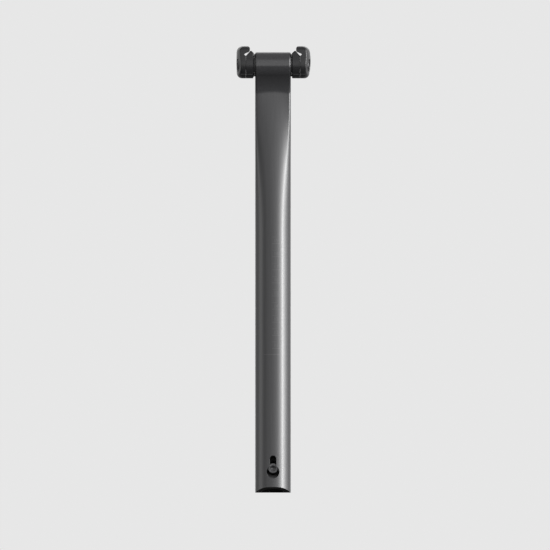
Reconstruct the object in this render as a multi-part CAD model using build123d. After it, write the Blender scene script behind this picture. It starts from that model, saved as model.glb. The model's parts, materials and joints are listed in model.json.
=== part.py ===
from build123d import *
import math
import os

os.makedirs("parts", exist_ok=True)

# ---------------------------------------------------------------------------
# Leaf-spring seatpost. Millimetres. +Z runs up the post, +Y is the riding
# direction, X is across. Origin: middle of the post's lower end.
# ---------------------------------------------------------------------------

# post (two mirrored leaves, split on the XZ plane)
SHAFT_R = 13.6          # 27.2 mm clamping diameter
BORE_R = 10.0           # inside of the half shells
SPLIT = 0.2             # half of the gap between the two leaves
ROUND_TOP = 200.0       # top of the fully round length
FLAT_Z = 308.0          # from here up the outer face has no crown left
GAP_START = 205.0       # the split starts to open
GAP_END = 268.0         # the split has its full width
GAP_HALF = 5.0          # half of the space between the leaves
EDGE_R = 2.2            # rounding of the flat leaf's side edges
FACE_IN = 2.4           # the flat face lies this much inside the round length's surface
NECK_Z = 304.0          # the face starts to sweep out to the eye

# eyes at the top of the leaves
EYE_Y = 11.0
EYE_Z = 326.0
EYE_R = 10.0
EYE_HALF = 13.6         # half width of an eye
BUSH_SEAT_R = 6.0

# lower end of the rear leaf
KEY_Z = 16.1            # middle of the round keyhole
KEY_R = 4.8
SLOT_W = 4.9
SLOT_TOP = 28.2
LIP_Y = -11.2           # inside of the slot's lips
FLOOR_Y = -7.2          # seat of the screw's washer
PAD_Y = -4.0            # inner face of the pad
BEVEL_Y = -3.5          # the bevel starts here
BEVEL_SLOPE = 0.425

# tilt screw
TILT_Z = 18.8
TILT_R = 2.0
TILT_HEAD_R = 3.4

# head
JAW_IN = 14.4           # inner faces of the inner jaws
SEAM = 20.65            # outer faces of the inner jaws
SEAM_GAP = 0.15
JAW_OUT = 28.0          # outer faces of the outer jaws
DOME = 0.9              # how far the right end bulges
RIDGE_Z = 337.0         # top of the inner jaws
HOOK_TOP = 340.5
HOOK_TIP = 17.8         # the hook reaches in to here
RIM_R = 3.3             # rounding of the outer jaws' rims

AXLE_R = 5.0
AXLE_BORE_R = 3.6
AXLE_HALF = 17.35
BUSH_BORE_R = 5.04
FLANGE_R = 8.6
FLANGE_X = 14.25

BOLT_R = 2.5
BOLT_HEAD_R = 4.25
NUT_R = 3.5
NUT_BORE_R = 2.58
NUT_HEAD_R = 4.5


def smooth(t):
    t = max(0.0, min(1.0, t))
    return t * t * (3.0 - 2.0 * t)


# --- outline of the leaf at a height ----------------------------------------
# concave sweeps of the outer and inner faces into the eye
NECK_R = 19.3
INNER_NECK_R = 15.0
INNER_NECK_Z = 311.8
NECK_TAPER = 0.3        # the neck is this much narrower per side at the eye
STEP = 0.03             # the bar starts this much inside the half shell's faces


def half_width(z):
    return SHAFT_R - NECK_TAPER * smooth((z - NECK_Z) / 10.0)


def flatness(z):
    """0 at the top of the round length, 1 where the face is flat."""
    return max(0.0, min(1.0, (z - 198.0) / (FLAT_Z - 198.0)))


def face_y(z):
    """Middle of the outer face: it leans in a little, then sweeps out to the eye."""
    t = flatness(min(z, NECK_Z))
    y = -SHAFT_R + FACE_IN * t ** 1.75
    if z <= NECK_Z:
        return y
    lean = math.atan(1.75 * FACE_IN * t ** 0.75 / (FLAT_Z - 198.0))
    cy, cz = y - NECK_R * math.cos(lean), NECK_Z + NECK_R * math.sin(lean)
    return cy + math.sqrt(NECK_R ** 2 - (z - cz) ** 2)


def opening(z):
    """0 where the leaves are half shells, 1 where they are flat bars."""
    return smooth((z - GAP_START) / (GAP_END - GAP_START))


def inner_y(z):
    if z <= INNER_NECK_Z:
        return -GAP_HALF
    h = z - INNER_NECK_Z
    return -GAP_HALF + (INNER_NECK_R - math.sqrt(INNER_NECK_R ** 2 - h * h))


def edge_y(z):
    o = opening(z)
    return -SPLIT * (1.0 - o) + inner_y(z) * o


def crown_r(z):
    k = (1.0 - flatness(z) ** 1.75) / SHAFT_R
    return 1.0 / max(k, 2e-4)


def corner_r(z):
    t = smooth((z - 196.0) / (300.0 - 196.0))
    return (SHAFT_R - 0.08) * (1.0 - t) + EDGE_R * t


def outer_outline(z, count=41):
    """Points along the outside, from one inner edge round to the other."""
    rf, rc, ya, ye = crown_r(z), corner_r(z), face_y(z), edge_y(z)
    hw = half_width(z)
    if z <= ROUND_TOP:
        r = SHAFT_R - STEP
        a0 = math.asin((SPLIT + STEP) / r)
        return [(-r * math.cos(a0 + (math.pi - 2 * a0) * i / (count - 1)),
                 -r * math.sin(a0 + (math.pi - 2 * a0) * i / (count - 1)))
                for i in range(count)]
    a1 = math.asin((hw - rc) / (rf - rc))
    yc = ya + rf - (rf - rc) * math.cos(a1)
    half = []
    for i in range(200):
        a = a1 * i / 200.0
        half.append((rf * math.sin(a), ya + rf - rf * math.cos(a)))
    for i in range(201):
        a = a1 + (math.pi / 2 - a1) * i / 200.0
        half.append((hw - rc + rc * math.sin(a), yc - rc * math.cos(a)))
    for i in range(1, 101):
        half.append((hw, yc + (ye - yc) * i / 100.0) if ye > yc else half[-1])
    if ye <= yc:
        half = [p for p in half if p[1] < ye]
        half.append((half[-1][0], ye))
    path = [(-x, y) for x, y in reversed(half[1:])] + half
    run = [0.0]
    for p, q in zip(path, path[1:]):
        run.append(run[-1] + math.dist(p, q))
    out, j = [], 0
    for i in range(count):
        s = run[-1] * i / (count - 1)
        while j < len(run) - 2 and run[j + 1] < s:
            j += 1
        d = run[j + 1] - run[j]
        f = (s - run[j]) / d if d > 1e-9 else 0.0
        out.append((path[j][0] + f * (path[j + 1][0] - path[j][0]),
                    path[j][1] + f * (path[j + 1][1] - path[j][1])))
    return out


def inner_outline(z, count=17):
    o = opening(z)
    r, split = BORE_R, SPLIT
    if z <= ROUND_TOP:
        r, split = BORE_R + STEP, SPLIT + STEP
    a0 = math.asin(split / r)
    out = []
    for i in range(count):
        a = a0 + (math.pi - 2 * a0) * i / (count - 1)
        out.append((r * math.cos(a),
                    -(1.0 - o) * r * math.sin(a) + o * inner_y(z)))
    return out


def leaf_section(z):
    po = [Vector(x, y, z) for x, y in outer_outline(z)]
    pi = [Vector(x, y, z) for x, y in inner_outline(z)]
    return Wire([Edge.make_spline(po), Edge.make_line(po[-1], pi[0]),
                 Edge.make_spline(pi), Edge.make_line(pi[-1], po[0])])


def leaf_blank():
    """One leaf on the -Y side: half shell, flat bar and eye."""
    shell = Pos(0, 0, ROUND_TOP / 2) * (
        Cylinder(SHAFT_R, ROUND_TOP) - Cylinder(BORE_R, ROUND_TOP + 2))
    shell &= Pos(0, -SPLIT - 20, ROUND_TOP / 2) * Box(60, 40, ROUND_TOP + 10)
    heights = [ROUND_TOP - 4, ROUND_TOP, 212, 224, 236, 248, 260, 272, 284, 294, 304, 306.5, 309, 311.5, 314,
               316, 318, 320]
    bar = Solid.make_loft([leaf_section(z) for z in heights])
    rim = make_face(Polyline((-EYE_HALF, 0), (EYE_HALF, 0), (EYE_HALF, EYE_R),
                             (-EYE_HALF, EYE_R), close=True))
    rim = fillet(rim.vertices().sort_by(Axis.Y)[-2:], EDGE_R)
    eye = Pos(0, -EYE_Y, EYE_Z) * revolve(rim, Axis.X, 360)
    leaf = bar + eye
    leaf -= Pos(0, -EYE_Y, EYE_Z) * Rot(0, 90, 0) * Cylinder(BUSH_SEAT_R, 60)
    return leaf + shell


def slot_y(width, z0, z1, y0, y1):
    """Round-ended slot along Z, cut through from y0 to y1."""
    r = width / 2
    body = Pos(0, (y0 + y1) / 2, (z0 + z1) / 2) * Box(width, y1 - y0, z1 - z0)
    for z in (z0, z1):
        body += Pos(0, (y0 + y1) / 2, z) * Rot(90, 0, 0) * Cylinder(r, y1 - y0)
    return body


def rear_leaf(leaf):
    pad = Pos(0, (PAD_Y - 12.0) / 2, 20.0) * Box(15.0, 12.0 + PAD_Y, 27.0)
    pad = chamfer(pad.edges().filter_by(Axis.X).group_by(Axis.Y)[-1], 3.0)
    pad &= Pos(0, 0, 20) * Cylinder(BORE_R + 1.0, 60)
    leaf = leaf + pad
    leaf -= Pos(0, (FLOOR_Y - 20) / 2, KEY_Z) * Rot(90, 0, 0) * Cylinder(KEY_R, 20 + FLOOR_Y)
    leaf -= slot_y(SLOT_W, KEY_Z, SLOT_TOP - SLOT_W / 2, -20, LIP_Y)
    leaf -= slot_y(2 * TILT_HEAD_R + 0.7, KEY_Z, 23.6, LIP_Y, FLOOR_Y)
    leaf -= slot_y(2 * TILT_R + 0.5, 14.2, 24.6, FLOOR_Y, PAD_Y + 3)
    far = 20.0
    wedge = make_face(Polyline((BEVEL_Y, 0), (-far, BEVEL_SLOPE * (far + BEVEL_Y)),
                               (-far, -5), (BEVEL_Y, -5), close=True))
    leaf -= extrude(Plane.YZ * wedge, 30, both=True)
    return leaf


def front_leaf(leaf):
    leaf = mirror(leaf, Plane.XZ)
    boss = Pos(0, (4.0 + 12.0) / 2, TILT_Z) * Box(13.0, 8.0, 16.0)
    boss = chamfer(boss.edges().filter_by(Axis.X).group_by(Axis.Y)[0], 2.0)
    boss &= Pos(0, 0, 20) * Cylinder(BORE_R + 1.0, 60)
    leaf = leaf + boss
    leaf -= Pos(0, 7.4, TILT_Z) * Rot(90, 0, 0) * Cylinder(3.5, 7.2)
    return leaf


# --- head -------------------------------------------------------------------
def jaw_outline(top, flank_z, flank_y, corner):
    """Side plate seen along X: two round ends round the eyes, raised top."""
    a = math.radians(150)
    ex = EYE_Y - EYE_R * math.cos(a)
    ez = EYE_Z + EYE_R * math.sin(a)
    with BuildSketch(Plane.YZ) as sk:
        with BuildLine():
            low = Line((-EYE_Y, EYE_Z - EYE_R), (EYE_Y, EYE_Z - EYE_R))
            ThreePointArc((EYE_Y, EYE_Z - EYE_R), (EYE_Y + EYE_R, EYE_Z), (ex, ez))
            Line((ex, ez), (flank_y, flank_z))
            Line((flank_y, flank_z), (flank_y - corner, top))
            Line((flank_y - corner, top), (-flank_y + corner, top))
            Line((-flank_y + corner, top), (-flank_y, flank_z))
            Line((-flank_y, flank_z), (-ex, ez))
            ThreePointArc((-ex, ez), (-EYE_Y - EYE_R, EYE_Z), (-EYE_Y, EYE_Z - EYE_R))
        make_face()
    return sk.sketch


def along_y(points):
    """Prism with the given XZ outline, long enough to pass through the head."""
    return extrude(Plane.XZ * make_face(Polyline(*points, close=True)), 40, both=True)


def drill(x0, x1, y, r):
    return Pos((x0 + x1) / 2, y, EYE_Z) * Rot(0, 90, 0) * Cylinder(r, x1 - x0)


def inner_jaw(hole_r):
    """Right-hand inner jaw."""
    jaw = Pos(JAW_IN, 0, 0) * extrude(jaw_outline(RIDGE_Z, 335.8, 17.4, 1.2), SEAM - JAW_IN)
    jaw -= along_y([(SEAM + 1, 331.95), (SEAM, 333.2), (17.55, RIDGE_Z), (17.55, 345), (SEAM + 1, 345)])
    jaw -= along_y([(JAW_IN - 1, 334.4), (JAW_IN, 335.2), (16.7, RIDGE_Z), (16.7, 345), (JAW_IN - 1, 345)])
    for y in (-EYE_Y, EYE_Y):
        jaw -= drill(JAW_IN - 1, AXLE_HALF + 0.05, y, AXLE_R + 0.02)
        jaw -= drill(JAW_IN, SEAM + 1, y, hole_r)
    return jaw


def outer_jaw(bulge):
    """Right-hand hook jaw with its outer rim rounded."""
    x0 = SEAM + SEAM_GAP
    plate = Pos(HOOK_TIP, 0, 0) * extrude(
        jaw_outline(HOOK_TOP, 338.2, 17.4, 2.3), JAW_OUT - HOOK_TIP)
    rim = plate.faces().sort_by(Axis.X)[-1]
    plate = fillet(rim.edges(), RIM_R)
    if bulge > 0:
        cap = Pos(JAW_OUT - 0.6, 0, EYE_Z + 2.6) * extrude(
            Plane.YZ * RectangleRounded(34.0, 13.0, 6.2), bulge + 0.6, taper=40)
        plate = plate + cap
    plate -= along_y([(10, 300), (x0, 300), (x0, 333.35), (22.2, 334.7), (18.7, 337.0),
                      (HOOK_TIP, 337.35), (10, 337.35)])
    tip = plate.edges().filter_by(Axis.Y).filter_by(
        lambda e: abs(e.center().X - HOOK_TIP) < 0.05 and abs(e.center().Z - HOOK_TOP) < 0.05)
    plate = fillet(tip, 1.5)
    return plate


def hex_socket(af, depth):
    return extrude(RegularPolygon(af / math.sqrt(3), 6), depth)


def clamp_bolt(y):
    x_head = 24.8
    head = Cylinder(BOLT_HEAD_R, 2.8, align=(Align.CENTER, Align.CENTER, Align.MIN))
    head = chamfer(head.edges().group_by(Axis.Z)[-1], 0.5)
    head -= Pos(0, 0, 1.2) * hex_socket(4.0, 4)
    shank = Pos(0, 0, -46.3) * Cylinder(BOLT_R, 46.4, align=(Align.CENTER, Align.CENTER, Align.MIN))
    shank = chamfer(shank.edges().group_by(Axis.Z)[0], 0.6)
    return Pos(x_head, y, EYE_Z) * Rot(0, 90, 0) * (head + shank)


def bolt_washer(y):
    ring = Cylinder(4.4, 0.7) - Cylinder(2.7, 2)
    return Pos(24.4, y, EYE_Z) * Rot(0, 90, 0) * ring


def sleeve_nut(y):
    head = Cylinder(NUT_HEAD_R, 2.45, align=(Align.CENTER, Align.CENTER, Align.MIN))
    head = chamfer(head.edges().group_by(Axis.Z)[-1], 0.5)
    tube = Pos(0, 0, -21.5) * Cylinder(NUT_R, 21.6, align=(Align.CENTER, Align.CENTER, Align.MIN))
    nut = head + tube
    nut -= Pos(0, 0, -22) * Cylinder(NUT_BORE_R, 22.2, align=(Align.CENTER, Align.CENTER, Align.MIN))
    nut -= Pos(0, 0, 1.0) * hex_socket(4.0, 4)
    return Pos(-24.55, y, EYE_Z) * Rot(0, -90, 0) * nut


def axle(y):
    tube = Cylinder(AXLE_R, 2 * AXLE_HALF) - Cylinder(AXLE_BORE_R, 60)
    return Pos(0, y, EYE_Z) * Rot(0, 90, 0) * tube


def bush(y):
    """Right-hand flanged bush of an eye."""
    length = EYE_HALF - 1.0
    body = Pos(1.0 + length / 2, 0, 0) * Rot(0, 90, 0) * Cylinder(BUSH_SEAT_R - 0.02, length)
    flange_t = FLANGE_X - EYE_HALF
    body += Pos(EYE_HALF + flange_t / 2, 0, 0) * Rot(0, 90, 0) * Cylinder(FLANGE_R, flange_t)
    body -= Rot(0, 90, 0) * Cylinder(BUSH_BORE_R, 60)
    return Pos(0, y, EYE_Z) * body


def tilt_bolt():
    """Socket screw along +Y, its head towards -Y."""
    head = Cylinder(TILT_HEAD_R, 2.95, align=(Align.CENTER, Align.CENTER, Align.MIN))
    head = chamfer(head.edges().group_by(Axis.Z)[-1], 0.4)
    head -= Pos(0, 0, 1.0) * hex_socket(3.0, 4)
    shank = Pos(0, 0, -17.8) * Cylinder(TILT_R, 17.9, align=(Align.CENTER, Align.CENTER, Align.MIN))
    return Pos(0, -7.9, TILT_Z) * Rot(90, 0, 0) * (head + shank)


def tilt_washer():
    ring = Cylinder(3.45, 0.6) - Cylinder(2.15, 2)
    return Pos(0, -7.58, TILT_Z) * Rot(90, 0, 0) * ring


def tilt_insert():
    ring = Cylinder(3.48, 6.8) - Cylinder(2.05, 20)
    return Pos(0, 7.5, TILT_Z) * Rot(90, 0, 0) * ring


nodes = {}
blank = leaf_blank()
nodes["rear_leaf"] = rear_leaf(blank)
nodes["front_leaf"] = front_leaf(blank)

right_inner = inner_jaw(2.8)
left_inner = mirror(inner_jaw(AXLE_BORE_R), Plane.YZ)
nodes["right_inner_jaw"] = right_inner
nodes["left_inner_jaw"] = left_inner

right_outer = outer_jaw(DOME)
left_outer = mirror(outer_jaw(0), Plane.YZ)
for jy in (-EYE_Y, EYE_Y):
    right_outer -= drill(15, 40, jy, 2.75)
    right_outer -= drill(24.0, 40, jy, 4.6)
    left_outer -= drill(-40, -15, jy, 3.52)
    left_outer -= drill(-40, -24.5, jy, 4.75)
nodes["right_outer_jaw"] = right_outer
nodes["left_outer_jaw"] = left_outer

for side, sy in (("rear", -EYE_Y), ("front", EYE_Y)):
    nodes[side + "_axle"] = axle(sy)
    nodes[side + "_bush_right"] = bush(sy)
    nodes[side + "_bush_left"] = mirror(bush(sy), Plane.YZ)
    nodes[side + "_clamp_bolt"] = clamp_bolt(sy)
    nodes[side + "_bolt_washer"] = bolt_washer(sy)
    nodes[side + "_sleeve_nut"] = sleeve_nut(sy)

nodes["tilt_bolt"] = tilt_bolt()
nodes["tilt_bolt_washer"] = tilt_washer()
nodes["tilt_insert"] = tilt_insert()

for name, shape in nodes.items():
    export_step(shape, f"parts/{name}.step")
    print(name, len(shape.solids()), round(shape.volume, 1), shape.bounding_box())
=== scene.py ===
import json
import math

import bmesh
import bpy
import numpy as np
from mathutils import Matrix, Vector


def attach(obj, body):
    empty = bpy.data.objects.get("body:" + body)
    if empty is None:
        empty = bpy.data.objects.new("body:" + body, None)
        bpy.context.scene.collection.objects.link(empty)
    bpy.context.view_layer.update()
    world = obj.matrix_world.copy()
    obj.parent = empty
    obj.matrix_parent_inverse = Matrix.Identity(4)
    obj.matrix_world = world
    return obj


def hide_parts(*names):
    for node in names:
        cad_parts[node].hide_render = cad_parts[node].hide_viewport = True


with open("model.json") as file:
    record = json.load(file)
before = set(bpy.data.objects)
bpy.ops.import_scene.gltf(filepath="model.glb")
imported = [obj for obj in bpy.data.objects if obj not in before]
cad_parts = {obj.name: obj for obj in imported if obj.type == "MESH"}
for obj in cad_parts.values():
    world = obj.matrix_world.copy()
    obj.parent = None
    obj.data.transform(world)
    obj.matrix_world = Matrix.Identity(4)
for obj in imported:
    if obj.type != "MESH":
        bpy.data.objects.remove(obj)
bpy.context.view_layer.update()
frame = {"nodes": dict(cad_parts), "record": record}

scene = bpy.context.scene
nodes = frame["nodes"]

# ---------------------------------------------------------------------------
# Leaf-spring seatpost. Shapes are written in millimetres and scaled to metres
# when they become pieces. +Z up the post, +Y the riding direction, X across.
# ---------------------------------------------------------------------------
SHAFT_R = 13.6
BORE_R = 10.0
SPLIT = 0.2
FLAT_Z = 308.0
GAP_START, GAP_END, GAP_HALF = 205.0, 268.0, 5.0
EDGE_R, EYE_EDGE_R = 1.9, 1.3
FACE_IN = 2.4
NECK_Z = 304.0
EYE_Y, EYE_Z, EYE_R, EYE_HALF = 11.0, 326.0, 10.0, 13.6
BUSH_SEAT_R = 6.0
KEY_Z, KEY_R, SLOT_W, SLOT_TOP = 15.7, 4.8, 4.9, 28.2
LIP_Y, FLOOR_Y, PAD_Y = -11.2, -7.2, -4.0
BEVEL_Y, BEVEL_TOP = -3.5, 4.3
TILT_Z = 18.6


def smooth(t):
    t = max(0.0, min(1.0, t))
    return t * t * (3.0 - 2.0 * t)


# --- mesh helpers -------------------------------------------------------------
def solid(name, verts, faces, weld=1e-5):
    """A closed mesh object in millimetres, its faces turned outwards."""
    me = bpy.data.meshes.new(name)
    me.from_pydata([tuple(v) for v in verts], [], [tuple(f) for f in faces])
    bm = bmesh.new()
    bm.from_mesh(me)
    bmesh.ops.remove_doubles(bm, verts=bm.verts, dist=weld)
    bmesh.ops.recalc_face_normals(bm, faces=bm.faces)
    bm.to_mesh(me)
    bm.free()
    ob = bpy.data.objects.new(name, me)
    scene.collection.objects.link(ob)
    return ob


def boolean(ob, other, operation="DIFFERENCE"):
    """Cuts other out of ob, or joins it, and removes other."""
    mod = ob.modifiers.new("cut", "BOOLEAN")
    mod.operation = operation
    mod.solver = "EXACT"
    mod.object = other
    bake_modifiers(ob)
    drop(other)


def bake_modifiers(ob):
    bpy.context.view_layer.update()
    graph = bpy.context.evaluated_depsgraph_get()
    me = bpy.data.meshes.new_from_object(ob.evaluated_get(graph))
    ob.modifiers.clear()
    old, ob.data = ob.data, me
    bpy.data.meshes.remove(old)


def drop(ob):
    me = ob.data
    bpy.data.objects.remove(ob)
    bpy.data.meshes.remove(me)


def to3(axis, u, v, t):
    """Point (u, v) of a section at t along an axis: x uses (y, z), y uses (x, z), z uses (x, y)."""
    return {"x": (t, u, v), "y": (u, t, v), "z": (u, v, t)}[axis]


def stack(name, axis, rings):
    """Closed solid through rings of equal point count, each (points, t) or a list of 3-D points."""
    loops = []
    for ring in rings:
        if isinstance(ring, tuple):
            pts, t = ring
            loops.append([to3(axis, u, v, t) for u, v in pts])
        else:
            loops.append(ring)
    n = len(loops[0])
    verts = [p for loop in loops for p in loop]
    faces = []
    for k in range(len(loops) - 1):
        a, b = k * n, (k + 1) * n
        for i in range(n):
            j = (i + 1) % n
            faces.append((a + i, a + j, b + j, b + i))
    faces.append(tuple(range(n)))
    faces.append(tuple(range((len(loops) - 1) * n, len(loops) * n)))
    return solid(name, verts, faces)


def circle(r, n, cu=0.0, cv=0.0, turn=0.0):
    return [(cu + r * math.cos(turn + 2 * math.pi * i / n), cv + r * math.sin(turn + 2 * math.pi * i / n))
            for i in range(n)]


def drum(name, axis, cu, cv, r, t0, t1, n=64):
    return stack(name, axis, [(circle(r, n, cu, cv), t0), (circle(r, n, cu, cv), t1)])


def stadium(half, v0, v1, n=24):
    """Round-ended slot outline along v."""
    out = []
    for i in range(n + 1):
        a = math.pi * i / n
        out.append((half * math.cos(a), v1 + half * math.sin(a)))
    for i in range(n + 1):
        a = math.pi + math.pi * i / n
        out.append((half * math.cos(a), v0 + half * math.sin(a)))
    return out


def finish_piece(ob, body, slot, material, *replaced, angle=35.0, inside=None):
    """Scales a millimetre mesh to metres, shades it and hands it to the frame; inside is (material, test of a face)."""
    marks = [inside[1](f) for f in ob.data.polygons] if inside else []
    ob.data.transform(Matrix.Scale(0.001, 4))
    ob.data.shade_smooth()
    ob.data.set_sharp_from_angle(angle=math.radians(angle))
    ob.data.materials.clear()
    ob.data.materials.append(material)
    if inside:
        ob.data.materials.append(inside[0])
        for f, mark in zip(ob.data.polygons, marks):
            f.material_index = 1 if mark else 0
    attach(ob, body)
    if replaced:
        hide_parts(*replaced)
    return ob


# --- the leaf's section at a height ---------------------------------------------
K = 64            # stations from the middle of the face to the end of the corner
K_SIDE = 10       # stations on the flat side
K_ROUND, K_STRIP = 8, 16
K_BORE = K - K_ROUND - K_STRIP
JOIN_Z = 300.0


def opening(z):
    return smooth((z - GAP_START) / (GAP_END - GAP_START))


def crown_r(z):
    t = max(0.0, min(1.0, (z - 198.0) / (FLAT_Z - 198.0)))
    return 1.0 / max((1.0 - t ** 1.75) / SHAFT_R, 2e-4)


def face_in(z):
    """How far the middle of the face lies inside the round length's surface."""
    t = max(0.0, min(1.0, (z - 198.0) / (FLAT_Z - 198.0)))
    return FACE_IN * t ** 1.75


def corner_r(z):
    t = smooth((z - 196.0) / 104.0)
    return (SHAFT_R - 0.08) * (1.0 - t) + EDGE_R * t


def edge_y(z):
    o = opening(z)
    return -SPLIT * (1.0 - o) - GAP_HALF * o


def inner_round(z):
    return 0.3 + 0.4 * opening(z)


def face_path(rf, rc, hw=SHAFT_R, steps=400):
    """Half section from the middle of the face to the end of the corner, as (x, depth) below the apex."""
    a1 = math.asin(min(1.0, (hw - rc) / (rf - rc)))
    dc = rf - (rf - rc) * math.cos(a1)
    a = np.linspace(0.0, a1, steps)
    b = np.linspace(a1, math.pi / 2, steps)[1:]
    x = np.concatenate([rf * np.sin(a), hw - rc + rc * np.sin(b)])
    d = np.concatenate([rf * (1.0 - np.cos(a)), dc - rc * np.cos(b)])
    return np.stack([x, d], 1)


def run_of(path):
    return np.concatenate([[0.0], np.cumsum(np.hypot(*np.diff(path, axis=0).T))])


def at_runs(path, run, s):
    return np.stack([np.interp(s, run, path[:, 0]), np.interp(s, run, path[:, 1])], 1)


def outer_half(z):
    """Points from the middle of the face to where the inner edge's rounding starts."""
    top = SHAFT_R - face_in(z)
    end = top + edge_y(z) - inner_round(z)              # depth of that place
    path = face_path(crown_r(z), corner_r(z))
    if path[-1, 1] < end:
        extra = np.linspace(path[-1, 1], end, 60)[1:]
        path = np.concatenate([path, np.stack([np.full(len(extra), SHAFT_R), extra], 1)])
    else:
        keep = path[path[:, 1] < end]
        k = len(keep)
        f = (end - path[k - 1, 1]) / (path[k, 1] - path[k - 1, 1])
        path = np.concatenate([keep, (path[k - 1] + f * (path[k] - path[k - 1]))[None]])
    run = run_of(path)
    cut = run[-1] * SIDE_SHARE
    s = np.concatenate([np.linspace(0, cut, K + 1), np.linspace(cut, run[-1], K_SIDE + 1)[1:]])
    pts = at_runs(path, run, s)
    return [(x, -top + d) for x, d in pts]


def inner_half(z):
    """Points from the end of outer_half round the edge and along the inside to the middle."""
    r, ye, o = inner_round(z), edge_y(z), opening(z)
    x0 = outer_half(z)[-1][0]
    out = []
    for i in range(1, K_ROUND + 1):
        a = math.pi / 2 * i / K_ROUND
        out.append((x0 - r + r * math.cos(a), ye - r + r * math.sin(a)))
    for i in range(1, K_STRIP + 1):
        out.append((x0 - r + (BORE_R - x0 + r) * i / K_STRIP, ye))
    a0 = math.asin(SPLIT / BORE_R)
    for i in range(1, K_BORE + 1):
        a = a0 + (math.pi / 2 - a0) * i / K_BORE
        out.append((BORE_R * math.cos(a), -(1.0 - o) * BORE_R * math.sin(a) - o * GAP_HALF))
    return out


_top = face_path(crown_r(JOIN_Z), corner_r(JOIN_Z))
_top_run = run_of(_top)[-1]
SIDE_SHARE = _top_run / (_top_run + SHAFT_R - face_in(JOIN_Z) + edge_y(JOIN_Z) - inner_round(JOIN_Z) - _top[-1, 1])


def leaf_loop(z):
    out, inn = outer_half(z), inner_half(z)
    loop = [(-x, y) for x, y in reversed(out[1:])] + out + inn + [(-x, y) for x, y in reversed(inn[:-1])]
    return [(x, y, z) for x, y in loop]


def eye_profile():
    """Rows over the neck and the eye: middle point (y, z), outward normal, crown radius, corner radius."""
    rows = []

    def add(y, z, ny, nz, rf, rc):
        rows.append((y, z, ny, nz, rf, rc))

    for z in (301.0, 302.0, 303.0, NECK_Z):
        lean = math.atan((face_in(z + 0.01) - face_in(z - 0.01)) / 0.02)
        add(-SHAFT_R + face_in(z), z, -math.cos(lean), math.sin(lean), crown_r(z), corner_r(z))
    # the neck's arc, tangent to the face and to the eye
    y0 = -SHAFT_R + face_in(NECK_Z)
    low, high = 5.0, 60.0
    for _ in range(60):
        r1 = (low + high) / 2
        c1y, c1z = y0 - r1 * math.cos(lean), NECK_Z + r1 * math.sin(lean)
        if math.hypot(-EYE_Y - c1y, EYE_Z - c1z) > r1 + EYE_R:
            low = r1
        else:
            high = r1
    reach = math.atan2(EYE_Z - c1z, -EYE_Y - c1y)      # towards the eye's middle
    for i in range(1, 31):
        a = -lean + (reach + lean) * i / 30
        y, z = c1y + r1 * math.cos(a), c1z + r1 * math.sin(a)
        add(y, z, -math.cos(a), -math.sin(a), crown_r(z), EDGE_R + (EYE_EDGE_R - EDGE_R) * smooth(i / 30))
    c2y, c2z, r2 = -GAP_HALF + 15.0, 312.44, 15.0
    a_in = math.atan2(c2z - EYE_Z, c2y + EYE_Y)        # from the eye towards the inner sweep's middle
    a_out = math.pi + reach
    for i in range(1, 101):
        a = a_out + (a_in - a_out) * i / 100
        rc = EYE_EDGE_R + (0.7 - EYE_EDGE_R) * smooth((math.radians(70) - a) / math.radians(100))
        add(-EYE_Y + EYE_R * math.cos(a), EYE_Z + EYE_R * math.sin(a), math.cos(a), math.sin(a), 5000.0, rc)
    for i in range(1, 17):
        a = a_in + math.pi + (math.pi - (a_in + math.pi)) * i / 16
        add(c2y + r2 * math.cos(a), c2z + r2 * math.sin(a), -math.cos(a), -math.sin(a), 5000.0, 0.7)
    for z in (309.0, 306.0, 303.0):
        add(-GAP_HALF, z, 1.0, 0.0, 5000.0, 0.7)
    return rows


def leaf_blank(name):
    """One leaf on the -Y side: half shell, flat bar, neck and eye, as one closed skin."""
    verts, faces = [], []
    heights = list(np.linspace(0.0, 40.0, 81)) + list(np.linspace(40.0, 196.0, 27))[1:] + list(np.linspace(196.0, JOIN_Z, 53))[1:]
    for z in heights:
        verts += leaf_loop(float(z))
    n = len(leaf_loop(0.0))
    for k in range(len(heights) - 1):
        a, b = k * n, (k + 1) * n
        for i in range(n):
            j = (i + 1) % n
            faces.append((a + i, a + j, b + j, b + i))
    faces.append(tuple(range(n)))
    top = (len(heights) - 1) * n
    mid = K + K_SIDE
    first = [top + mid + j for j in range(-K, K + 1)]
    # the inner side of the joining loop, in the same left-to-right order
    right = [top + 2 * mid + m for m in range(0, K + 1)]            # edge to middle
    left = [top] + [top + 2 * mid + 2 * K - m for m in range(1, K)]  # edge to middle, without the middle
    last = left + list(reversed(right))
    inner = np.array([(SHAFT_R, -GAP_HALF - inner_round(JOIN_Z))] + inner_half(JOIN_Z))[::-1]
    run = run_of(inner)
    goal = run / run[-1]
    rows = [first]
    profile = eye_profile()
    for k, (y, z, ny, nz, rf, rc) in enumerate(profile):
        path = face_path(rf, rc)
        r = run_of(path)
        mix = smooth((k - 40) / (len(profile) - 40.0))
        share = (1.0 - mix) * np.linspace(0, 1, K + 1) + mix * goal
        half = at_runs(path, r, share * r[-1])
        start = len(verts)
        for x, d in list(half[::-1] * (-1.0, 1.0)) + list(half[1:]):
            verts.append((x, y - ny * d, z - nz * d))
        rows.append(list(range(start, start + 2 * K + 1)))
    rows.append(last)
    for a, b in zip(rows, rows[1:]):
        for i in range(2 * K):
            faces.append((a[i], a[i + 1], b[i + 1], b[i]))
    faces.append(tuple([row[-1] for row in rows] + [top + mid + j for j in range(K + K_SIDE - 1, K, -1)]))
    faces.append(tuple([row[0] for row in rows] + [top + mid - j for j in range(K + K_SIDE - 1, K, -1)]))
    ob = solid(name, verts, faces)
    boolean(ob, drum("bore", "x", -EYE_Y, EYE_Z, BUSH_SEAT_R, -30, 30, 96))
    return ob


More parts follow.
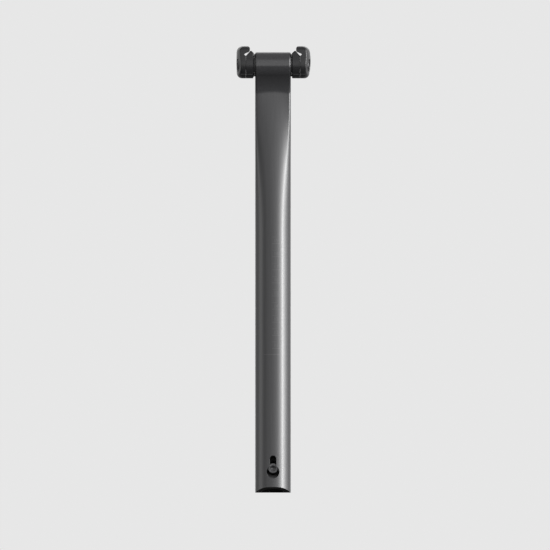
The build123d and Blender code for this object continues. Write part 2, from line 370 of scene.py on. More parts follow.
def keyhole(half, top, r, grow, n_round=40, n_top=24, n_side=10):
    """Outline of the keyhole in (x, z), grown by an offset."""
    h, rr, tr = half + grow, r + grow, half + grow
    zt = top - half
    a0 = math.asin(h / rr)
    out = []
    for i in range(n_round + 1):
        a = math.pi / 2 - a0 - (2 * math.pi - 2 * a0) * i / n_round
        out.append((rr * math.cos(a), KEY_Z + rr * math.sin(a)))
    z0 = out[-1][1]
    for i in range(1, n_side):
        out.append((-h, z0 + (zt - z0) * i / n_side))
    for i in range(n_top + 1):
        a = math.pi - math.pi * i / n_top
        out.append((tr * math.cos(a), zt + tr * math.sin(a)))
    for i in range(1, n_side):
        out.append((h, zt + (z0 - zt) * i / n_side))
    return out


def key_cutter():
    """Keyhole through the curved wall: broken rim, lower side sloping inwards for a key held at an angle."""
    rim = 0.1
    rings = []

    def squeeze(z, depth):
        k = 1.0 - 0.44 * max(0.0, min(1.0, (depth - rim) / 1.8))
        return z if z > KEY_Z else KEY_Z + (z - KEY_Z) * k

    def ring(grow, depth):
        rings.append([(x, -math.sqrt(SHAFT_R ** 2 - x * x) + depth, squeeze(z, depth))
                      for x, z in keyhole(SLOT_W / 2, SLOT_TOP, KEY_R, grow)])

    rings.append([(x, -16.0, z) for x, z in keyhole(SLOT_W / 2, SLOT_TOP, KEY_R, rim + 0.02)])
    ring(rim + 0.02, -0.012)
    for i in range(1, 7):
        a = math.pi / 2 * i / 6
        ring(rim - rim * math.sin(a), rim - rim * math.cos(a))
    for depth in (0.4, 0.7, 1.0, 1.3, 1.6, 1.9):
        ring(0.0, depth)
    rings.append([(x, -9.4, squeeze(z, 9.0)) for x, z in keyhole(SLOT_W / 2, SLOT_TOP, KEY_R, 0.0)])
    return stack("keyhole", "y", rings)


def box_pad(name, half_x, y_in, y_out, z0, z1, cham):
    """Pad on the inside of a leaf, its inner edges chamfered; y_in is the open side."""
    s = 1.0 if y_out > y_in else -1.0
    outline = [(y_in, z0 + cham), (y_in + s * cham, z0), (y_out, z0), (y_out, z1), (y_in + s * cham, z1), (y_in, z1 - cham)]
    return stack(name, "x", [(outline, -half_x), (outline, half_x)])


def bevel_cutter(far=20.0):
    """Slanting cut across the lower end, a little hollow across the post so that its edge runs flat in the middle."""
    rings = []
    for x in np.linspace(-15.0, 15.0, 61):
        a = min(abs(float(x)), 12.0)
        reach = math.sqrt(SHAFT_R ** 2 - a * a) + BEVEL_Y
        slope = BEVEL_TOP * (1.0 - (a / SHAFT_R) ** 3) / reach
        rings.append(([(BEVEL_Y, 0.0), (-far, slope * (far + BEVEL_Y)), (-far, -5.0), (BEVEL_Y, -5.0)], float(x)))
    return stack("bevel", "x", rings)


def rear_leaf():
    ob = leaf_blank("rear_leaf_skin")
    boolean(ob, box_pad("pad", 7.5, PAD_Y, -11.0, 6.5, 33.5, 3.0), "UNION")
    boolean(ob, key_cutter())
    boolean(ob, stack("cavity", "y", [(keyhole(3.95, 27.35, KEY_R + 0.03, 0.0), LIP_Y), (keyhole(3.95, 27.35, KEY_R + 0.03, 0.0), FLOOR_Y)]))
    boolean(ob, stack("floor_slot", "y", [(stadium(2.25, 15.9, 21.7), FLOOR_Y - 0.4), (stadium(2.25, 15.9, 21.7), PAD_Y + 3)]))
    boolean(ob, bevel_cutter())
    return ob


def front_leaf():
    ob = leaf_blank("front_leaf_skin")
    ob.data.transform(Matrix.Scale(-1, 4, Vector((0, 1, 0))))
    ob.data.flip_normals()
    boolean(ob, box_pad("boss", 6.5, 4.0, 11.0, 10.8, 26.8, 2.0), "UNION")
    # moulded-in insert: a thin skin of the boss covers its end
    boolean(ob, drum("insert_seat", "y", 0.0, TILT_Z, 3.5, 4.09, 11.0))
    boolean(ob, drum("screw_hole", "y", 0.0, TILT_Z, 2.3, 2.0, 5.0))
    return ob


# --- outlines with rounded corners ------------------------------------------------
def rounded(corners, step=6.0, run=1.5):
    """Outline with arcs at its corners (u, v, radius), listed anticlockwise, as rows of (u, v, outward normal)."""
    n = len(corners)
    arcs = []
    for i in range(n):
        p0, p, p1 = (np.array(corners[k % n][:2], float) for k in (i - 1, i, i + 1))
        r = corners[i][2]
        d0 = (p - p0) / np.linalg.norm(p - p0)
        d1 = (p1 - p) / np.linalg.norm(p1 - p)
        turn = math.atan2(d0[0] * d1[1] - d0[1] * d1[0], float(d0 @ d1))
        if r <= 0 or abs(turn) < 1e-5:
            m = np.array([d0[1] + d1[1], -d0[0] - d1[0]])
            arcs.append([(p, m / np.linalg.norm(m))])
            continue
        sign = 1.0 if turn > 0 else -1.0
        start = p - d0 * r * math.tan(abs(turn) / 2)
        mid = start + np.array([-d0[1], d0[0]]) * sign * r
        k = max(2, math.ceil(math.degrees(abs(turn)) / step))
        arc = []
        for j in range(k + 1):
            a = turn * j / k
            v = start - mid
            v = np.array([v[0] * math.cos(a) - v[1] * math.sin(a), v[0] * math.sin(a) + v[1] * math.cos(a)])
            arc.append((mid + v, v / r * sign))
        arcs.append(arc)
    out = []
    for i in range(n):
        out += arcs[i]
        a, b = arcs[i][-1][0], arcs[(i + 1) % n][0][0]
        length = np.linalg.norm(b - a)
        m = int(length / run)
        for j in range(1, m + 1):
            d = (b - a) / length
            out.append((a + (b - a) * j / (m + 1), np.array([d[1], -d[0]])))
    return np.array([[*p, *q] for p, q in out])


def prism_y(name, corners):
    pts = [(u, v) for u, v, _, _ in rounded(corners, 12.0, 100.0)]
    return stack(name, "y", [(pts, -40.0), (pts, 40.0)])


def mirror_x(ob):
    ob.data.transform(Matrix.Scale(-1, 4, Vector((1, 0, 0))))
    ob.data.flip_normals()
    return ob


def jaw_outline(flank, top, r_flank, r_top):
    """Side plate seen along X: round ends about the two eyes, flanks tangent to them, flat top."""
    fy, fz = flank
    ty, tz = top
    dy, dz = fy - EYE_Y, fz - EYE_Z
    a = math.atan2(dz, dy) - math.acos(EYE_R / math.hypot(dy, dz))
    low = EYE_Y + (EYE_R + EYE_R * math.sin(a)) / math.cos(a)
    half = [(low, EYE_Z - EYE_R, EYE_R), (fy, fz, r_flank), (ty, tz, r_top)]
    return rounded(half + [(-y, z, r) for y, z, r in reversed(half)])


# --- jaws ------------------------------------------------------------------------------
JAW_IN, SEAM = 14.4, 20.65
LEDGE = [(-18.42, 319.3), (-18.42, 318.9), (-17.2, 317.9), (-14.0, 319.0), (-17.0, 320.5)]


def ledge(name, x0, x1, side):
    """Narrow land along the lower side of a round end."""
    pts = [(side * -y, z) for y, z in LEDGE]
    return stack(name, "x", [(pts, x0), (pts, x1)])


def inner_jaw(name, hole_r, relief_x, relief):
    """Right-hand inner jaw: thrust faces round the axles, sloped seat and ridge for the rail."""
    outline = jaw_outline((17.4, 335.8), (16.2, 337.0), 1.0, 1.0)
    rings = []
    for x, d in ((0.0, 1.0), (1.0, 0.0)):
        rings.append(([(u - nu * k, v - nv * k) for u, v, nu, nv in outline
                       for k in (relief * d * (1.0 - 0.55 * smooth((v - 332.5) / 2.5)),)], JAW_IN + relief_x * x))
    for x, d in ((-0.14, 0.0), (0.0, 0.3)):
        rings.append(([(u - nu * d, v - nv * d) for u, v, nu, nv in outline], SEAM + x))
    ob = stack(name, "x", rings)
    for s in (-1, 1):
        boolean(ob, ledge("ledge", JAW_IN + relief_x + 0.1, SEAM - 0.06, s), "UNION")
        boolean(ob, drum("thrust", "x", s * EYE_Y, EYE_Z, 8.3, 14.27, 15.2, 96), "UNION")
    boolean(ob, prism_y("seat", [(SEAM + 3, 331.0, 0), (SEAM + 3, 350, 0), (17.0, 350, 0), (17.0, 337.2, 0.25), (20.65, 333.2, 0)][::-1]))
    boolean(ob, prism_y("flank", [(JAW_IN - 3, 331.0, 0), (JAW_IN, 335.1, 0.4), (16.55, 337.05, 0.25), (16.7, 350, 0), (JAW_IN - 3, 350, 0)][::-1]))
    for s in (-1, 1):
        boolean(ob, drum("axle_seat", "x", s * EYE_Y, EYE_Z, 5.02, 10, 17.4, 64))
        boolean(ob, drum("bolt_hole", "x", s * EYE_Y, EYE_Z, hole_r, 16, 30, 48))
    return ob


def outer_jaw(name, apex, k_z, top_x, top_z, low_x, low_z, hole_r, bore_r, bore_x):
    """Right-hand hook jaw with a domed outer face."""
    outline = jaw_outline((17.4, 338.2), (15.1, 340.5), 2.5, 6.0)

    def face(y, z):
        return apex - 0.0079 * y * y - k_z * (z - 329.0) ** 2

    rows = []
    for u, v, nu, nv in outline:
        up, down = max(0.0, nv) ** 3, max(0.0, -nv) ** 2
        rx = 0.8 + (top_x - 0.8) * up + (low_x - 0.8) * down
        rz = 0.8 + (top_z - 0.8) * up + (low_z - 0.8) * down
        rows.append((u, v, nu, nv, rx, rz, face(u - nu * rz, v - nv * rz)))
    rings = [[(17.0, u, v) for u, v, *_ in rows]]
    for i in range(10):
        a = math.pi / 2 * i / 9
        rings.append([(xf - rx * (1 - math.sin(a)), u - nu * rz * (1 - math.cos(a)), v - nv * rz * (1 - math.cos(a)))
                      for u, v, nu, nv, rx, rz, xf in rows])
    for t in np.linspace(0.0, 0.97, 13)[1:]:
        ring = []
        for u, v, nu, nv, rx, rz, xf in rows:
            y, z = (u - nu * rz) * (1 - t), 328.0 + (v - nv * rz - 328.0) * (1 - t)
            ring.append((face(y, z), y, z))
        rings.append(ring)
    ob = stack(name, "x", rings)
    for s in (-1, 1):
        boolean(ob, ledge("ledge", 20.0, 24.6, s), "UNION")
    # the hook: nose, underside, pocket and the face on the seam
    boolean(ob, prism_y("hook", [(10, 300, 0), (SEAM + 0.04, 300, 0), (SEAM + 0.04, 333.2, 0.2), (22.4, 334.35, 0.55),
                                 (17.65, 336.4, 1.4), (17.65, 340.55, 1.9), (19.9, 340.55, 0.1), (19.9, 350, 0), (10, 350, 0)]))
    for s in (-1, 1):
        boolean(ob, drum("bolt_hole", "x", s * EYE_Y, EYE_Z, hole_r, 10, 40, 64))
        rings = []
        for grow, depth in [(0.75, -0.5)] + [(0.35 - 0.35 * math.sin(a), 0.35 - 0.35 * math.cos(a))
                                             for a in np.linspace(0.05, math.pi / 2, 6)]:
            rings.append([(face(y, z) - depth, y, z) for y, z in circle(bore_r + grow, 72, s * EYE_Y, EYE_Z)])
        rings.append([(bore_x, y, z) for y, z in circle(bore_r, 72, s * EYE_Y, EYE_Z)])
        boolean(ob, stack("counterbore", "x", rings))
    return ob


# --- fasteners ------------------------------------------------------------------------
def lathe(name, axis, cu, cv, profile, n=64):
    """Solid of revolution; profile is (t, r) from one end to the other."""
    return stack(name, axis, [(circle(r, n, cu, cv), t) for t, r in profile])


def hexagon(af, cu, cv, turn=0.0):
    return circle(af / math.sqrt(3), 6, cu, cv, turn)


def threaded(name, axis, cu, cv, smooth_part, t0, t1, crest, pitch, n=40):
    """Lathe whose last length, from t0 to t1, carries a helical thread."""
    rings = [(circle(r, n, cu, cv), t) for t, r in smooth_part]
    steps = max(8, int(abs(t1 - t0) / pitch * 10))
    depth = 0.54 * pitch
    for k in range(steps + 1):
        f = k / steps
        t = t0 + (t1 - t0) * f
        fade = min(1.0, f * 12.0)
        pts = []
        for i in range(n):
            a = 2 * math.pi * i / n
            s = (t / pitch - i / n) % 1.0
            tri = abs(2.0 * s - 1.0)
            r = crest - depth * fade * max(0.0, min(1.0, 1.25 * tri - 0.12))
            if f > 0.97:
                r = min(r, crest - 0.5 * (f - 0.97) / 0.03)
            pts.append((cu + r * math.cos(a), cv + r * math.sin(a)))
        rings.append((pts, t))
    return stack(name, axis, rings)


def clamp_bolt(name, y):
    head = [(27.6, 2.3), (27.57, 2.7), (27.47, 3.15), (27.32, 3.6), (27.12, 4.0), (26.9, 4.28), (26.7, 4.42), (26.5, 4.46),
            (24.95, 4.46), (24.84, 4.4), (24.8, 4.3), (24.8, 2.85), (24.7, 2.6), (24.5, 2.5), (-1.0, 2.5)]
    ob = threaded(name, "x", y, EYE_Z, head, -1.4, -21.5, 2.5, 0.8)
    boolean(ob, stack("socket", "x", [(hexagon(4.0, y, EYE_Z), 26.0), (hexagon(4.0, y, EYE_Z), 30.0)]))
    boolean(ob, stack("lead", "x", [(circle(2.05, 48, y, EYE_Z), 27.4), (circle(2.5, 48, y, EYE_Z), 27.72)]))
    return ob


def sleeve_nut(name, y):
    head = [(-27.0, 2.3), (-26.97, 2.7), (-26.87, 3.2), (-26.7, 3.7), (-26.5, 4.1), (-26.28, 4.4), (-26.05, 4.56), (-25.8, 4.62),
            (-24.7, 4.62), (-24.59, 4.55), (-24.55, 4.45), (-24.55, 3.85), (-24.45, 3.6), (-24.25, 3.5), (-3.3, 3.5), (-3.05, 3.25)]
    ob = lathe(name, "x", y, EYE_Z, head)
    boolean(ob, drum("bore", "x", y, EYE_Z, 2.58, -24.3, 0.0, 48))
    boolean(ob, stack("socket", "x", [(hexagon(4.0, y, EYE_Z), -25.6), (hexagon(4.0, y, EYE_Z), -30.0)]))
    boolean(ob, stack("lead", "x", [(circle(2.05, 48, y, EYE_Z), -26.8), (circle(2.5, 48, y, EYE_Z), -27.12)]))
    return ob


def tilt_bolt(name):
    y1 = -10.85
    head = [(y1, 3.4), (y1 + 0.02, 3.6), (y1 + 0.06, 3.72), (y1 + 0.14, 3.81), (y1 + 0.28, 3.85),
            (-8.05, 3.85), (-7.94, 3.8), (-7.9, 3.7), (-7.9, 2.25), (-7.8, 2.08), (-7.6, 2.0), (1.0, 2.0)]
    ob = threaded(name, "y", 0.0, TILT_Z, head, 1.4, 9.9, 2.0, 0.7)
    key = hexagon(3.9, 0.0, TILT_Z, math.radians(20))
    boolean(ob, stack("socket", "y", [(key, -9.75), (key, -12.0)]))
    boolean(ob, stack("point", "y", [(circle(0.05, 48, 0.0, TILT_Z), -8.8), (circle(1.93, 48, 0.0, TILT_Z), -9.76)]))
    boolean(ob, stack("lead", "y", [(circle(1.95, 48, 0.0, TILT_Z), -10.6), (circle(2.4, 48, 0.0, TILT_Z), -11.0)]))
    return ob


def washer(name, axis, cu, cv, t0, t1, r_in, r_out):
    c = 0.12
    ob = lathe(name, axis, cu, cv, [(t0, r_out - c), (t0 + c * 0.3, r_out - c * 0.3), (t0 + c, r_out), (t1 - c, r_out),
                                    (t1 - c * 0.3, r_out - c * 0.3), (t1, r_out - c)], 72)
    boolean(ob, drum("hole", axis, cu, cv, r_in, t0 - 1, t1 + 1, 48))
    return ob


# --- depth scale on the round length --------------------------------------------------
def wrap(bm, thick=0.02):
    """Lays a flat print, drawn in x and z, on the round length as a thin closed skin."""
    for x in np.arange(-7.6, 7.7, 0.4):
        bmesh.ops.bisect_plane(bm, geom=bm.verts[:] + bm.edges[:] + bm.faces[:], plane_co=(float(x), 0, 0), plane_no=(1, 0, 0))
    for v in bm.verts:
        r = SHAFT_R + (thick if v.co.y < 0 else -0.08)
        v.co.y = -math.sqrt(r * r - v.co.x ** 2)


def depth_scale(name):
    """Line for the least insertion, ticks every 5 mm and plain numbers in centimetres from the lower end."""
    whole = bmesh.new()

    def add(part):
        me = bpy.data.meshes.new("part")
        part.to_mesh(me)
        part.free()
        whole.from_mesh(me)
        bpy.data.meshes.remove(me)

    def bar(x0, x1, z, half):
        bm = bmesh.new()
        bmesh.ops.create_cube(bm, size=1.0)
        for v in bm.verts:
            v.co = Vector((x0 + (x1 - x0) * (v.co.x + 0.5), v.co.y * 0.1, z + 2 * half * v.co.z))
        wrap(bm)
        add(bm)

    bar(-6.8, 5.3, 105.4, 0.34)
    for z in range(110, 200, 5):
        bar(-0.6, 5.7 if z % 10 == 0 else 2.6, float(z), 0.22 if z % 10 == 0 else 0.16)
    for z in range(110, 200, 10):
        text = bpy.data.curves.new("number", "FONT")
        text.body = str(z // 10)
        text.size, text.extrude, text.offset, text.resolution_u = 3.7, 0.05, 0.05, 4
        text.align_x = "CENTER"
        ob = bpy.data.objects.new("number", text)
        scene.collection.objects.link(ob)
        bpy.context.view_layer.update()
        me = bpy.data.meshes.new_from_object(ob.evaluated_get(bpy.context.evaluated_depsgraph_get()))
        bm = bmesh.new()
        bm.from_mesh(me)
        bmesh.ops.remove_doubles(bm, verts=bm.verts, dist=1e-4)
        bpy.data.objects.remove(ob)
        bpy.data.curves.remove(text)
        bpy.data.meshes.remove(me)
        for v in bm.verts:
            v.co = Vector((2.4 + v.co.x, -v.co.z, z + 1.1 + v.co.y))
        wrap(bm)
        add(bm)
    bmesh.ops.recalc_face_normals(whole, faces=whole.faces)
    me = bpy.data.meshes.new(name)
    whole.to_mesh(me)
    whole.free()
    ob = bpy.data.objects.new(name, me)
    scene.collection.objects.link(ob)
    return ob


# --- materials -----------------------------------------------------------------
class Mat:
    """A node material with a few helpers."""

    def __init__(self, name, **shader):
        self.mat = bpy.data.materials.new(name)
        self.mat.use_nodes = True
        self.tree = self.mat.node_tree
        self.bsdf = next(n for n in self.tree.nodes if n.type == "BSDF_PRINCIPLED")
        for key, value in shader.items():
            self.bsdf.inputs[key.replace("_", " ")].default_value = value
        self.coord = self.tree.nodes.new("ShaderNodeTexCoord").outputs["Object"]

    def node(self, kind, **props):
        n = self.tree.nodes.new("ShaderNode" + kind)
        for k, v in props.items():
            setattr(n, k, v)
        return n

    def link(self, a, b):
        self.tree.links.new(a, b)

    def scaled(self, x, y, z):
        m = self.node("Mapping")
        m.inputs["Scale"].default_value = (x, y, z)
        self.link(self.coord, m.inputs["Vector"])
        return m.outputs["Vector"]

    def noise(self, vector, scale, detail=2.0, rough=0.5):
        n = self.node("TexNoise")
        n.inputs["Scale"].default_value = scale
        n.inputs["Detail"].default_value = detail
        n.inputs["Roughness"].default_value = rough
        self.link(vector, n.inputs["Vector"])
        return n.outputs["Fac"]

    def math(self, op, a, b=0.0, c=0.0, clamp=False):
        n = self.node("Math", operation=op, use_clamp=clamp)
        for k, v in enumerate((a, b, c)):
            if isinstance(v, (int, float)):
                n.inputs[k].default_value = v
            else:
                self.link(v, n.inputs[k])
        return n.outputs[0]

    def ramp(self, fac, *stops):
        n = self.node("ValToRGB")
        el = n.color_ramp.elements
        while len(el) < len(stops):
            el.new(0.5)
        for e, (pos, col) in zip(el, stops):
            e.position = pos
            e.color = (*col, 1.0) if len(col) == 3 else col
        self.link(fac, n.inputs["Fac"])
        return n.outputs["Color"]

    def spread(self, fac, low, high, a=0.0, b=1.0):
        n = self.node("MapRange")
        n.inputs["From Min"].default_value = a
        n.inputs["From Max"].default_value = b
        n.inputs["To Min"].default_value = low
        n.inputs["To Max"].default_value = high
        self.link(fac, n.inputs["Value"])
        return n.outputs["Result"]

    def mix(self, fac, a, b):
        n = self.node("Mix", data_type="RGBA")
        for sock, v in ((n.inputs[0], fac), (n.inputs[6], a), (n.inputs[7], b)):
            if isinstance(v, (int, float)):
                sock.default_value = v
            elif isinstance(v, tuple):
                sock.default_value = (*v, 1.0)
            else:
                self.link(v, sock)
        return n.outputs[2]

    def bump(self, height, strength, distance):
        n = self.node("Bump")
        n.inputs["Strength"].default_value = strength
        n.inputs["Distance"].default_value = distance
        self.link(height, n.inputs["Height"])
        self.link(n.outputs["Normal"], self.bsdf.inputs["Normal"])

    def set(self, name, out):
        self.link(out, self.bsdf.inputs[name])


def carbon():
    m = Mat("carbon_satin", Metallic=0.0, IOR=1.5)
    fibre = m.noise(m.scaled(1.0, 1.0, 0.018), 1400.0, 3.0, 0.6)
    cloud = m.noise(m.scaled(1.0, 1.0, 0.25), 60.0, 2.0, 0.5)
    grain = m.noise(m.coord, 5200.0, 2.0, 0.6)
    m.set("Base Color", m.ramp(fibre, (0.25, (0.017, 0.017, 0.018)), (0.75, (0.023, 0.023, 0.0245))))
    rough = m.math("ADD", m.spread(cloud, -0.012, 0.012), m.spread(fibre, 0.205, 0.235))
    m.set("Roughness", rough)
    m.bump(m.math("ADD", m.math("MULTIPLY", fibre, 0.5), grain), 0.06, 0.00008)
    return m.mat


def blasted_alloy():
    m = Mat("blasted_black_alloy", Metallic=0.0, IOR=1.5, Specular_IOR_Level=0.31)
    fine = m.noise(m.coord, 3800.0, 3.0, 0.65)
    cloud = m.noise(m.coord, 180.0, 2.0, 0.5)
    m.set("Base Color", m.ramp(fine, (0.3, (0.0068, 0.0068, 0.0073)), (0.7, (0.0102, 0.0102, 0.0109))))
    m.set("Roughness", m.math("ADD", m.spread(cloud, -0.03, 0.03), m.spread(fine, 0.3, 0.36)))
    m.bump(fine, 0.1, 0.00006)
    return m.mat


def raw_carbon_painted_shade():
    """Unpolished inside with painted shade: grey near the surface, painted black in the depth of the keyhole and bore
    where they lie in shadow.
    """
    m = Mat("carbon_raw_painted_shade", Metallic=0.0, IOR=1.5, Specular_IOR_Level=0.12)
    split = m.node("SeparateXYZ")
    m.link(m.coord, split.inputs[0])
    fibre = m.noise(m.scaled(1.0, 1.0, 0.03), 900.0, 3.0, 0.6)
    shade = m.ramp(fibre, (0.3, (0.0035, 0.0035, 0.0036)), (0.7, (0.006, 0.006, 0.0062)))
    lip = m.ramp(fibre, (0.3, (0.018, 0.018, 0.0184)), (0.7, (0.024, 0.024, 0.0246)))
    # painted shade: the colour goes from the rim tone to near black with depth into the leaf
    near = m.math("POWER", m.spread(split.outputs["Y"], 0.0, 1.0, -0.0116, -0.0135), 1.9)
    m.set("Base Color", m.mix(near, shade, lip))
    m.set("Roughness", m.spread(fibre, 0.55, 0.7))
    m.bump(fibre, 0.2, 0.0001)
    return m.mat


def print_grey():
    m = Mat("print_grey", Metallic=0.0, IOR=1.5)
    fine = m.noise(m.coord, 2600.0, 3.0, 0.6)
    m.set("Base Color", m.ramp(fine, (0.3, (0.029, 0.029, 0.03)), (0.7, (0.035, 0.035, 0.036))))
    m.set("Roughness", m.spread(fine, 0.22, 0.28))
    m.bump(fine, 0.05, 0.00004)
    return m.mat


def turned_alloy():
    m = Mat("turned_alloy", Metallic=1.0)
    rings = m.noise(m.scaled(1.0, 0.03, 0.03), 2600.0, 2.0, 0.6)
    m.set("Base Color", m.ramp(rings, (0.3, (0.42, 0.42, 0.43)), (0.7, (0.55, 0.55, 0.57))))
    m.set("Roughness", m.spread(rings, 0.28, 0.42))
    m.bump(rings, 0.1, 0.00005)
    return m.mat


def polymer():
    m = Mat("bush_polymer", Metallic=0.0, IOR=1.5)
    fine = m.noise(m.coord, 3000.0, 3.0, 0.6)
    m.set("Base Color", m.ramp(fine, (0.3, (0.012, 0.012, 0.012)), (0.7, (0.02, 0.02, 0.02))))
    m.set("Roughness", m.spread(fine, 0.5, 0.62))
    m.bump(fine, 0.1, 0.00006)
    return m.mat


def black_steel(name, shade):
    m = Mat(name, Metallic=1.0)
    fine = m.noise(m.coord, 2600.0, 3.0, 0.6)
    blot = m.noise(m.coord, 420.0, 2.0, 0.5)
    m.set("Base Color", m.ramp(blot, (0.3, (0.07 * shade, 0.07 * shade, 0.072 * shade)), (0.7, (0.11 * shade, 0.11 * shade, 0.113 * shade))))
    m.set("Roughness", m.math("ADD", m.spread(fine, 0.36, 0.46), m.spread(blot, -0.03, 0.03)))
    m.bump(fine, 0.1, 0.00005)
    return m.mat


def brass():
    m = Mat("turned_brass", Metallic=1.0)
    rings = m.noise(m.scaled(0.03, 1.0, 0.03), 2600.0, 2.0, 0.6)
    m.set("Base Color", m.ramp(rings, (0.3, (0.5, 0.34, 0.12)), (0.7, (0.66, 0.48, 0.2))))
    m.set("Roughness", m.spread(rings, 0.28, 0.42))
    m.bump(rings, 0.1, 0.00005)
    return m.mat


CARBON, RAW_PAINTED_SHADE, ALLOY, AXLE = carbon(), raw_carbon_painted_shade(), blasted_alloy(), turned_alloy()
POLYMER, BRASS = polymer(), brass()
STEEL, SCREW = black_steel("black_oxide_steel", 0.5), black_steel("worn_oxide_steel", 1.0)
# painted shade: a darker copy of the screw's steel for the inside of its hexagon socket
SOCKET_PAINTED_SHADE = black_steel("socket_painted_shade_steel", 0.68)
by_slot = {"carbon": CARBON, "jaw_alloy": ALLOY, "axle_alloy": AXLE, "bush_polymer": POLYMER,
           "black_steel": STEEL, "brass_insert": BRASS}
for sub in frame["record"]["subparts"]:
    ob = nodes[sub["node"]]
    ob.data.materials.clear()
    ob.data.materials.append(by_slot[sub["material_slot"]])

# --- pieces -----------------------------------------------------------------------
def is_inside_painted_shade(face):
    """Bore, pads, keyhole and down-facing lower end of a leaf: the faces that take the painted-shade material."""
    x, y, z = face.center
    n = face.normal
    if z < 5.5 and n.z < -0.25:
        return True
    if z > 212.0:
        return False
    if math.hypot(x, y) < BORE_R + 0.2:
        return True
    return abs(x) < 5.4 and 10.0 < z < 29.0 and math.hypot(x, y) < SHAFT_R - 0.22


def in_socket_painted_shade(face):
    """Walls and bottom of the tilt screw's hexagon socket, painted darker as shade inside the recess."""
    x, y, z = face.center
    return math.hypot(x, z - TILT_Z) < 2.3 and -10.75 < y < -8.7


# the leaves' hollows and underside get painted shade through their inner material
finish_piece(rear_leaf(), "rear_half", "carbon", CARBON, "rear_leaf", inside=(RAW_PAINTED_SHADE, is_inside_painted_shade))
finish_piece(front_leaf(), "front_half", "carbon", CARBON, "front_leaf", inside=(RAW_PAINTED_SHADE, is_inside_painted_shade))
finish_piece(depth_scale("depth_scale_print"), "rear_half", "carbon", print_grey())

finish_piece(inner_jaw("right_inner_jaw_body", 2.8, 0.5, 0.9), "head", "jaw_alloy", ALLOY, "right_inner_jaw")
finish_piece(mirror_x(inner_jaw("left_inner_jaw_body", 3.6, 0.95, 1.7)), "head", "jaw_alloy", ALLOY, "left_inner_jaw")
finish_piece(outer_jaw("right_outer_jaw_body", 28.75, 0.012, 5.2, 5.4, 4.0, 4.0, 2.75, 4.6, 24.0),
             "right_jaw", "jaw_alloy", ALLOY, "right_outer_jaw")
finish_piece(mirror_x(outer_jaw("left_outer_jaw_body", 27.9, 0.003, 4.5, 4.6, 4.0, 4.2, 3.52, 4.75, 24.5)),
             "left_jaw", "jaw_alloy", ALLOY, "left_outer_jaw")
for side, sy in (("rear", -EYE_Y), ("front", EYE_Y)):
    finish_piece(clamp_bolt(side + "_bolt_body", sy), "right_jaw", "black_steel", STEEL, side + "_clamp_bolt")
    finish_piece(sleeve_nut(side + "_nut_body", sy), "left_jaw", "black_steel", STEEL, side + "_sleeve_nut")
    finish_piece(washer(side + "_washer_ring", "x", sy, EYE_Z, 24.05, 24.75, 2.7, 4.4), "right_jaw", "black_steel", STEEL,
                 side + "_bolt_washer")
finish_piece(tilt_bolt("tilt_bolt_body"), "front_half", "black_steel", SCREW, "tilt_bolt", inside=(SOCKET_PAINTED_SHADE, in_socket_painted_shade))
finish_piece(washer("tilt_washer_ring", "y", 0.0, TILT_Z, -7.88, -7.28, 2.15, 3.45), "front_half", "black_steel", SCREW,
             "tilt_bolt_washer")


# --- studio --------------------------------------------------------------------------
def strip(name, azimuth, half, radiance, low=-5.0, high=45.0, distance=4.0, height=0.2):
    """Upright panel light; azimuth 0 is the camera's side, positive to the right, half its half width in degrees."""
    a = math.radians(azimuth)
    lo, hi = distance * math.tan(math.radians(low)), distance * math.tan(math.radians(high))
    light = bpy.data.lights.new(name, "AREA")
    light.shape = "RECTANGLE"
    light.size, light.size_y = 2 * distance * math.tan(math.radians(half)), hi - lo
    light.energy = radiance * math.pi * light.size * light.size_y
    ob = bpy.data.objects.new(name, light)
    ob.location = (distance * math.sin(a), -distance * math.cos(a), height + (lo + hi) / 2)
    ob.rotation_euler = Vector((math.sin(a), -math.cos(a), 0.0)).to_track_quat("Z", "Y").to_euler()
    ob.visible_camera = False
    scene.collection.objects.link(ob)
    return ob


strip("key_strip", 64.0, 4.0, 9.3)
strip("left_strip", -85.0, 12.0, 0.56)

# Soft tent round the object: brightness by direction, dark below the horizon.
TENT = [(-180, 0.5), (-150, 0.5), (-120, 0.58), (-110, 0.95), (-98, 1.5), (-80, 1.6), (-70, 1.5), (-60, 1.08), (-50, 1.0),
        (-38, 1.43), (-20, 1.4), (-8, 1.6), (4, 1.8), (14, 2.3), (24, 2.8), (30, 3.6), (35, 4.6), (40, 6.2), (45, 8.1),
        (50, 10.5), (55, 14.5), (60, 17.5), (65, 18.5), (70, 17.5), (76, 15.2), (82, 11.2), (90, 6.8), (98, 4.2), (108, 2.5),
        (116, 1.25), (140, 0.6), (180, 0.5)]
TENT_PEAK, TENT_TOP, TENT_LOW, TENT_BACK = 20.0, 0.35, 0.2, 1.0

world = bpy.data.worlds.new("studio")
scene.world = world
world.use_nodes = True
wt = world.node_tree
for n in list(wt.nodes):
    wt.nodes.remove(n)


def wnode(kind, *values, **props):
    n = wt.nodes.new("ShaderNode" + kind)
    for k, v in props.items():
        setattr(n, k, v)
    for k, v in enumerate(values):
        if v is None:
            continue
        if isinstance(v, (int, float)):
            n.inputs[k].default_value = v
        else:
            wt.links.new(v, n.inputs[k])
    return n


axes = wnode("SeparateXYZ", wnode("TexCoord").outputs["Generated"]).outputs
back = wnode("Math", axes["Y"], -1.0, operation="MULTIPLY").outputs[0]
turn = wnode("Math", axes["X"], back, operation="ARCTAN2").outputs[0]
place = wnode("MapRange", turn, -math.pi, math.pi, 0.0, 1.0).outputs["Result"]
tent = wnode("ValToRGB", place)
stops = tent.color_ramp.elements
while len(stops) < len(TENT):
    stops.new(0.5)
for stop, (azimuth, radiance) in zip(stops, TENT):
    stop.position = (azimuth + 180.0) / 360.0
    stop.color = (radiance / TENT_PEAK, radiance / TENT_PEAK, radiance / TENT_PEAK, 1.0)


def above(angle, soft=1.5):
    n = wnode("MapRange", axes["Z"], math.sin(math.radians(angle - soft)), math.sin(math.radians(angle + soft)), 0.0, 1.0,
              interpolation_type="SMOOTHSTEP")
    return n.outputs["Result"]


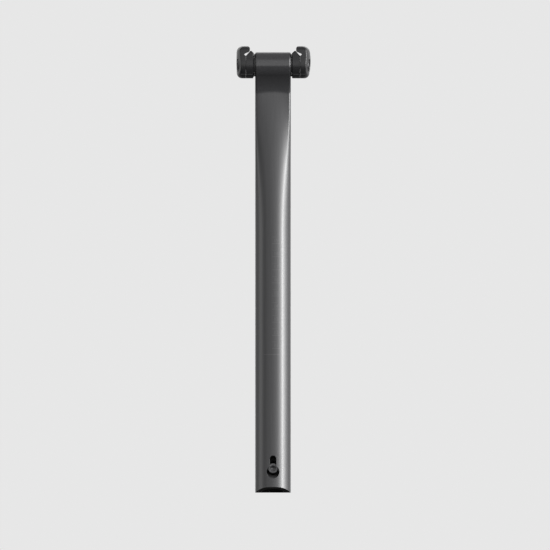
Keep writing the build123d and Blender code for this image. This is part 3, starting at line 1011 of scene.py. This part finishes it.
over = above(50.0, 8.0)
up = above(-5.0)
fade = wnode("MapRange", axes["Z"], 0.0, 1.0, TENT_PEAK, 0.62 * TENT_PEAK).outputs["Result"]
side = wnode("Math", wnode("Math", up, over, operation="SUBTRACT").outputs[0], fade, operation="MULTIPLY").outputs[0]
under = wnode("MapRange", up, 0.0, 1.0, TENT_LOW, 0.0).outputs["Result"]
behind = wnode("MapRange", wnode("Math", turn, operation="ABSOLUTE").outputs[0], math.radians(160.0), math.radians(170.0), 0.0,
               TENT_BACK / TENT_PEAK, interpolation_type="SMOOTHSTEP").outputs["Result"]
round_about = wnode("Math", tent.outputs["Color"], behind, operation="ADD").outputs[0]
wall = wnode("Math", round_about, side, under, operation="MULTIPLY_ADD").outputs[0]
total = wnode("Math", over, TENT_TOP, wall, operation="MULTIPLY_ADD").outputs[0]
fill = wnode("Background", None, total)
fill.inputs["Color"].default_value = (0.93, 0.93, 0.93, 1.0)
seen = wnode("Background", None, 1.0)
seen.inputs["Color"].default_value = (0.8, 0.8, 0.8, 1.0)
pick = wnode("MixShader", wnode("LightPath").outputs["Is Camera Ray"], fill.outputs[0], seen.outputs[0])
out = wnode("OutputWorld", pick.outputs[0])

floor_mat = Mat("studio_floor", Metallic=0.0, Roughness=0.7)
floor_mat.set("Base Color", floor_mat.ramp(floor_mat.noise(floor_mat.coord, 6.0), (0.3, (0.465, 0.465, 0.465)), (0.7, (0.503, 0.503, 0.503))))
floor = solid("floor", [(-1.5, -0.9, -0.0005), (1.5, -0.9, -0.0005), (1.5, 0.9, -0.0005), (-1.5, 0.9, -0.0005)], [(0, 1, 2, 3)])
floor.data.materials.append(floor_mat.mat)
floor.visible_glossy = False
floor.visible_diffuse = False

cam = bpy.data.cameras.new("camera")
cam.type = "ORTHO"
cam.ortho_scale = 0.4195
cam_ob = bpy.data.objects.new("camera", cam)
cam_ob.location = (0.00153, -1.5, 0.1660)
cam_ob.rotation_euler = (math.pi / 2, 0.0, 0.0)
scene.collection.objects.link(cam_ob)
scene.camera = cam_ob
scene.view_settings.view_transform = "Standard"
